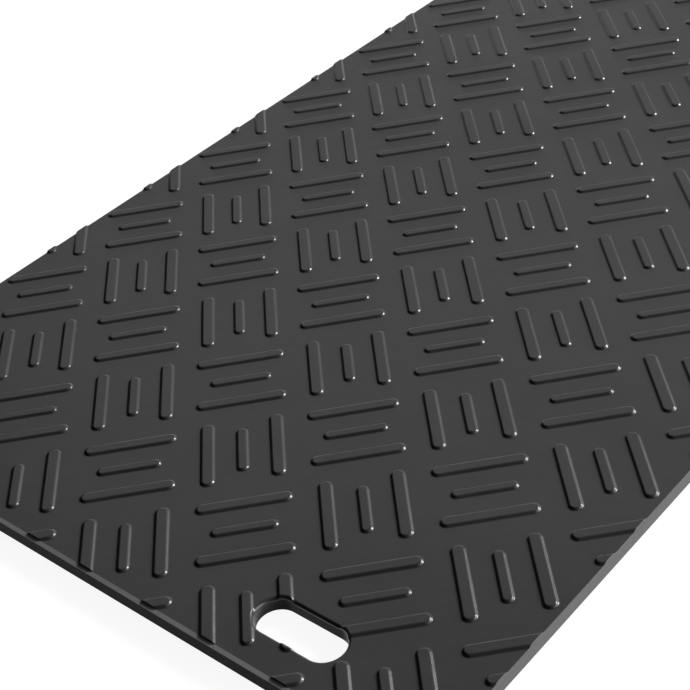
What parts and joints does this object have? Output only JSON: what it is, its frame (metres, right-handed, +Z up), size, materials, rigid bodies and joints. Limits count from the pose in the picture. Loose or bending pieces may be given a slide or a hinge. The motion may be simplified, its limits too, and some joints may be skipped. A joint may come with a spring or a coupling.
{
  "type": "ground protection mat",
  "caption": "Flat rectangular plastic sheet with a raised bar tread in alternating cells on top, a smooth underside, flat margins at the short ends and a hand slot near each corner.",
  "frame": {"origin": "middle of the underside, on the ground", "axes": "+X across the width, +Y along the length, +Z up out of the tread"},
  "size_m": [1, 2, 0.02],
  "materials": {
    "black_plastic": "moulded black polyethylene with a dull sheen"
  },
  "bodies": {
    "root": {"mat": "black_plastic"}
  },
  "joints": []
}
